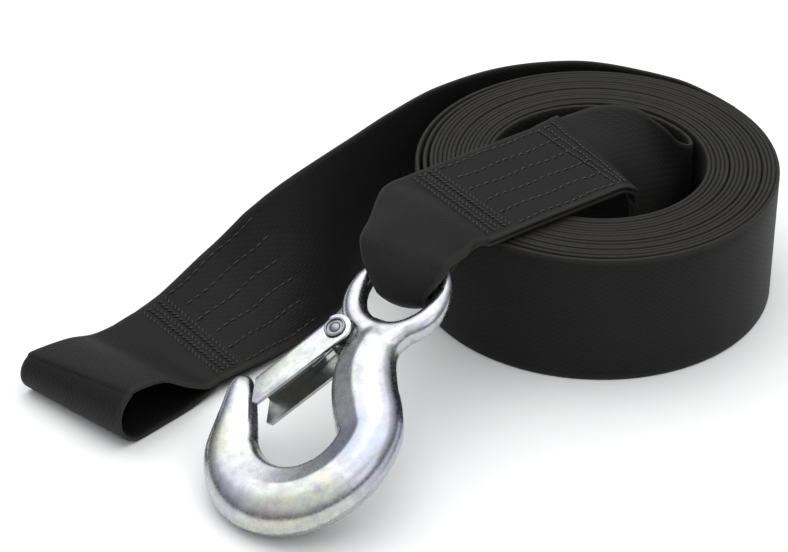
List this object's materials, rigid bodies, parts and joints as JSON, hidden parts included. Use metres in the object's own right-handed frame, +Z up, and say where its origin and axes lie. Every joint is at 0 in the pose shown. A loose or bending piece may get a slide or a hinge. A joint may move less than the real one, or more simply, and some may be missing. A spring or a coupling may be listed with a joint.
{
  "type": "winch strap",
  "caption": "Wound webbing strap for a boat trailer's hand winch, with a sewn drum loop and a forged eye snap hook with a spring latch.",
  "frame": {"origin": "middle of the whole object's footprint, on the floor that the strap and the hook lie on", "axes": "+X towards the coil and away from the hook and the drum loop, +Z up along the coil's axis, +Y towards the drum end, which runs behind the coil"},
  "size_m": [0.2601, 0.1878, 0.0651],
  "materials": {
    "strap_coil": "woven black polyester webbing, matte",
    "strap_lead_root": "woven black polyester webbing, matte",
    "strap_tail": "woven black polyester webbing, matte",
    "drum_loop": "woven black polyester webbing, matte",
    "drum_seam_upper_thread": "twisted black polyester thread",
    "drum_seam_lower_thread": "twisted black polyester thread",
    "strap_lead": "woven black polyester webbing, matte",
    "hook_eye": "woven black polyester webbing, matte",
    "hook_seam_upper_thread": "twisted black polyester thread",
    "hook_seam_lower_thread": "twisted black polyester thread",
    "hook_body": "forged steel, bright zinc plate, smooth",
    "latch": "pressed steel sheet, bright zinc plate",
    "latch_pin": "tubular steel rivet, zinc plate",
    "latch_spring": "spring steel wire"
  },
  "bodies": {
    "coil": {"strap_coil": "strap_coil", "strap_lead_root": "strap_lead_root"},
    "drum_end": {"strap_tail": "strap_tail", "drum_loop": "drum_loop", "drum_seam_upper_thread": "drum_seam_upper_thread", "drum_seam_lower_thread": "drum_seam_lower_thread"},
    "hook_end": {"strap_lead": "strap_lead", "hook_eye": "hook_eye", "hook_seam_upper_thread": "hook_seam_upper_thread", "hook_seam_lower_thread": "hook_seam_lower_thread"},
    "hook": {"hook_body": "hook_body", "latch_pin": "latch_pin", "latch_spring": "latch_spring"},
    "latch": {"latch": "latch"}
  },
  "joints": [
    {"name": "tail_peel", "type": "hinge", "parent": "coil", "child": "drum_end", "pos_m": [0.12466, -0.05126, 0.025], "axis": [0, 0, -1], "range_deg": [0, 35]},
    {"name": "lead_lift", "type": "hinge", "parent": "coil", "child": "hook_end", "pos_m": [0.05357, -0.02548, 0.053], "axis": [0.3322, 0.9432, 0], "range_deg": [0, 40]},
    {"name": "hook_swing", "type": "hinge", "parent": "hook_end", "child": "hook", "pos_m": [-0.02825, -0.01315, 0.05215], "axis": [-0.1894, 0.958, -0.2152], "range_deg": [-60, 60]},
    {"name": "latch_pivot", "type": "hinge", "parent": "hook", "child": "latch", "pos_m": [-0.06184, -0.00748, 0.03539], "axis": [-0.4276, 0.1168, 0.8964], "range_deg": [0, 30], "stiffness_Nm_per_rad": 0.03, "springref_deg": -28.65, "deforming": ["latch_spring"]}
  ]
}
